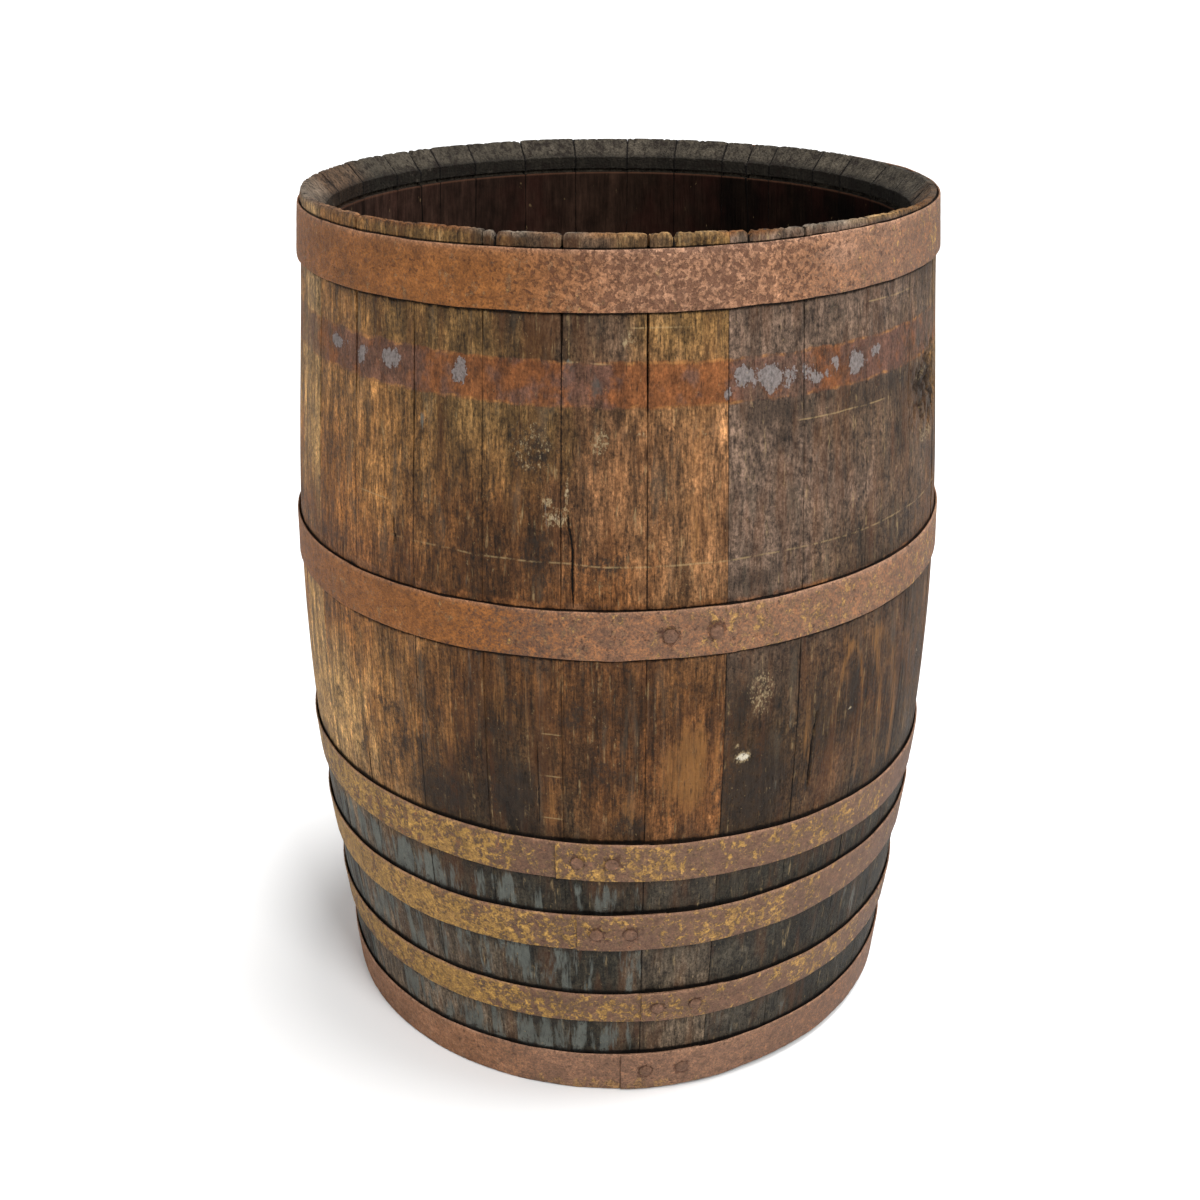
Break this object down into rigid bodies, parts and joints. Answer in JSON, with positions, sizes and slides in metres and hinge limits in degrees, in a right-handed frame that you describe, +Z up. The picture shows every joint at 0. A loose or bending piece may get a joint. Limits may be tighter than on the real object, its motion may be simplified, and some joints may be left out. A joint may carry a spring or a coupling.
{
  "type": "wine barrel",
  "caption": "Upright oak wine barrel with bowed staves, riveted iron hoops, an open top, a bottom head and a bung in its side.",
  "frame": {"origin": "middle of the base, on the surface the barrel stands on", "axes": "+Z up along the barrel's axis, -Y the front, where the laps of the lower hoops show, +X to the right seen from the front"},
  "size_m": [0.7345, 0.7414, 0.95],
  "materials": {
    "stave_oak": "weathered oak, stained dark, with open grain and rust marks",
    "head_oak": "dark wine-stained oak, matt",
    "pale_oak": "plain oak, matt",
    "hoop_iron": "rusted all over, pitted and matt, with ochre speckles",
    "rivet_iron": "rusted all over, matt"
  },
  "bodies": {
    "cask": {"bung_stave": "stave_oak", "head_board_1": "head_oak", "head_board_2": "head_oak", "head_board_3": "head_oak", "head_board_4": "head_oak", "head_board_5": "head_oak", "head_board_6": "head_oak", "head_dowel_1": "pale_oak", "head_dowel_2": "pale_oak", "head_dowel_3": "pale_oak", "head_dowel_4": "pale_oak", "head_dowel_5": "pale_oak", "hoop_bilge": "hoop_iron", "hoop_bottom_chime": "hoop_iron", "hoop_lower_neck": "hoop_iron", "hoop_lower_quarter": "hoop_iron", "hoop_quarter": "hoop_iron", "hoop_top_chime": "hoop_iron", "rivet_bilge_1": "rivet_iron", "rivet_bilge_2": "rivet_iron", "rivet_bottom_chime_1": "rivet_iron", "rivet_bottom_chime_2": "rivet_iron", "rivet_lower_neck_1": "rivet_iron", "rivet_lower_neck_2": "rivet_iron", "rivet_lower_quarter_1": "rivet_iron", "rivet_lower_quarter_2": "rivet_iron", "rivet_quarter_1": "rivet_iron", "rivet_quarter_2": "rivet_iron", "rivet_top_chime_1": "rivet_iron", "rivet_top_chime_2": "rivet_iron", "stave_01": "stave_oak", "stave_02": "stave_oak", "stave_03": "stave_oak", "stave_04": "stave_oak", "stave_05": "stave_oak", "stave_06": "stave_oak", "stave_07": "stave_oak", "stave_08": "stave_oak", "stave_09": "stave_oak", "stave_10": "stave_oak", "stave_11": "stave_oak", "stave_12": "stave_oak", "stave_13": "stave_oak", "stave_14": "stave_oak", "stave_15": "stave_oak", "stave_16": "stave_oak", "stave_17": "stave_oak", "stave_18": "stave_oak", "stave_19": "stave_oak", "stave_21": "stave_oak", "stave_22": "stave_oak", "stave_23": "stave_oak", "stave_24": "stave_oak", "stave_25": "stave_oak", "stave_26": "stave_oak", "stave_27": "stave_oak", "stave_28": "stave_oak", "stave_29": "stave_oak"},
    "bung": {"bung": "pale_oak"}
  },
  "joints": [
    {"name": "bung_draw", "type": "slide", "parent": "cask", "child": "bung", "axis": [-0.0698, 0.9976, 0], "range_m": [0, 0.045]}
  ]
}
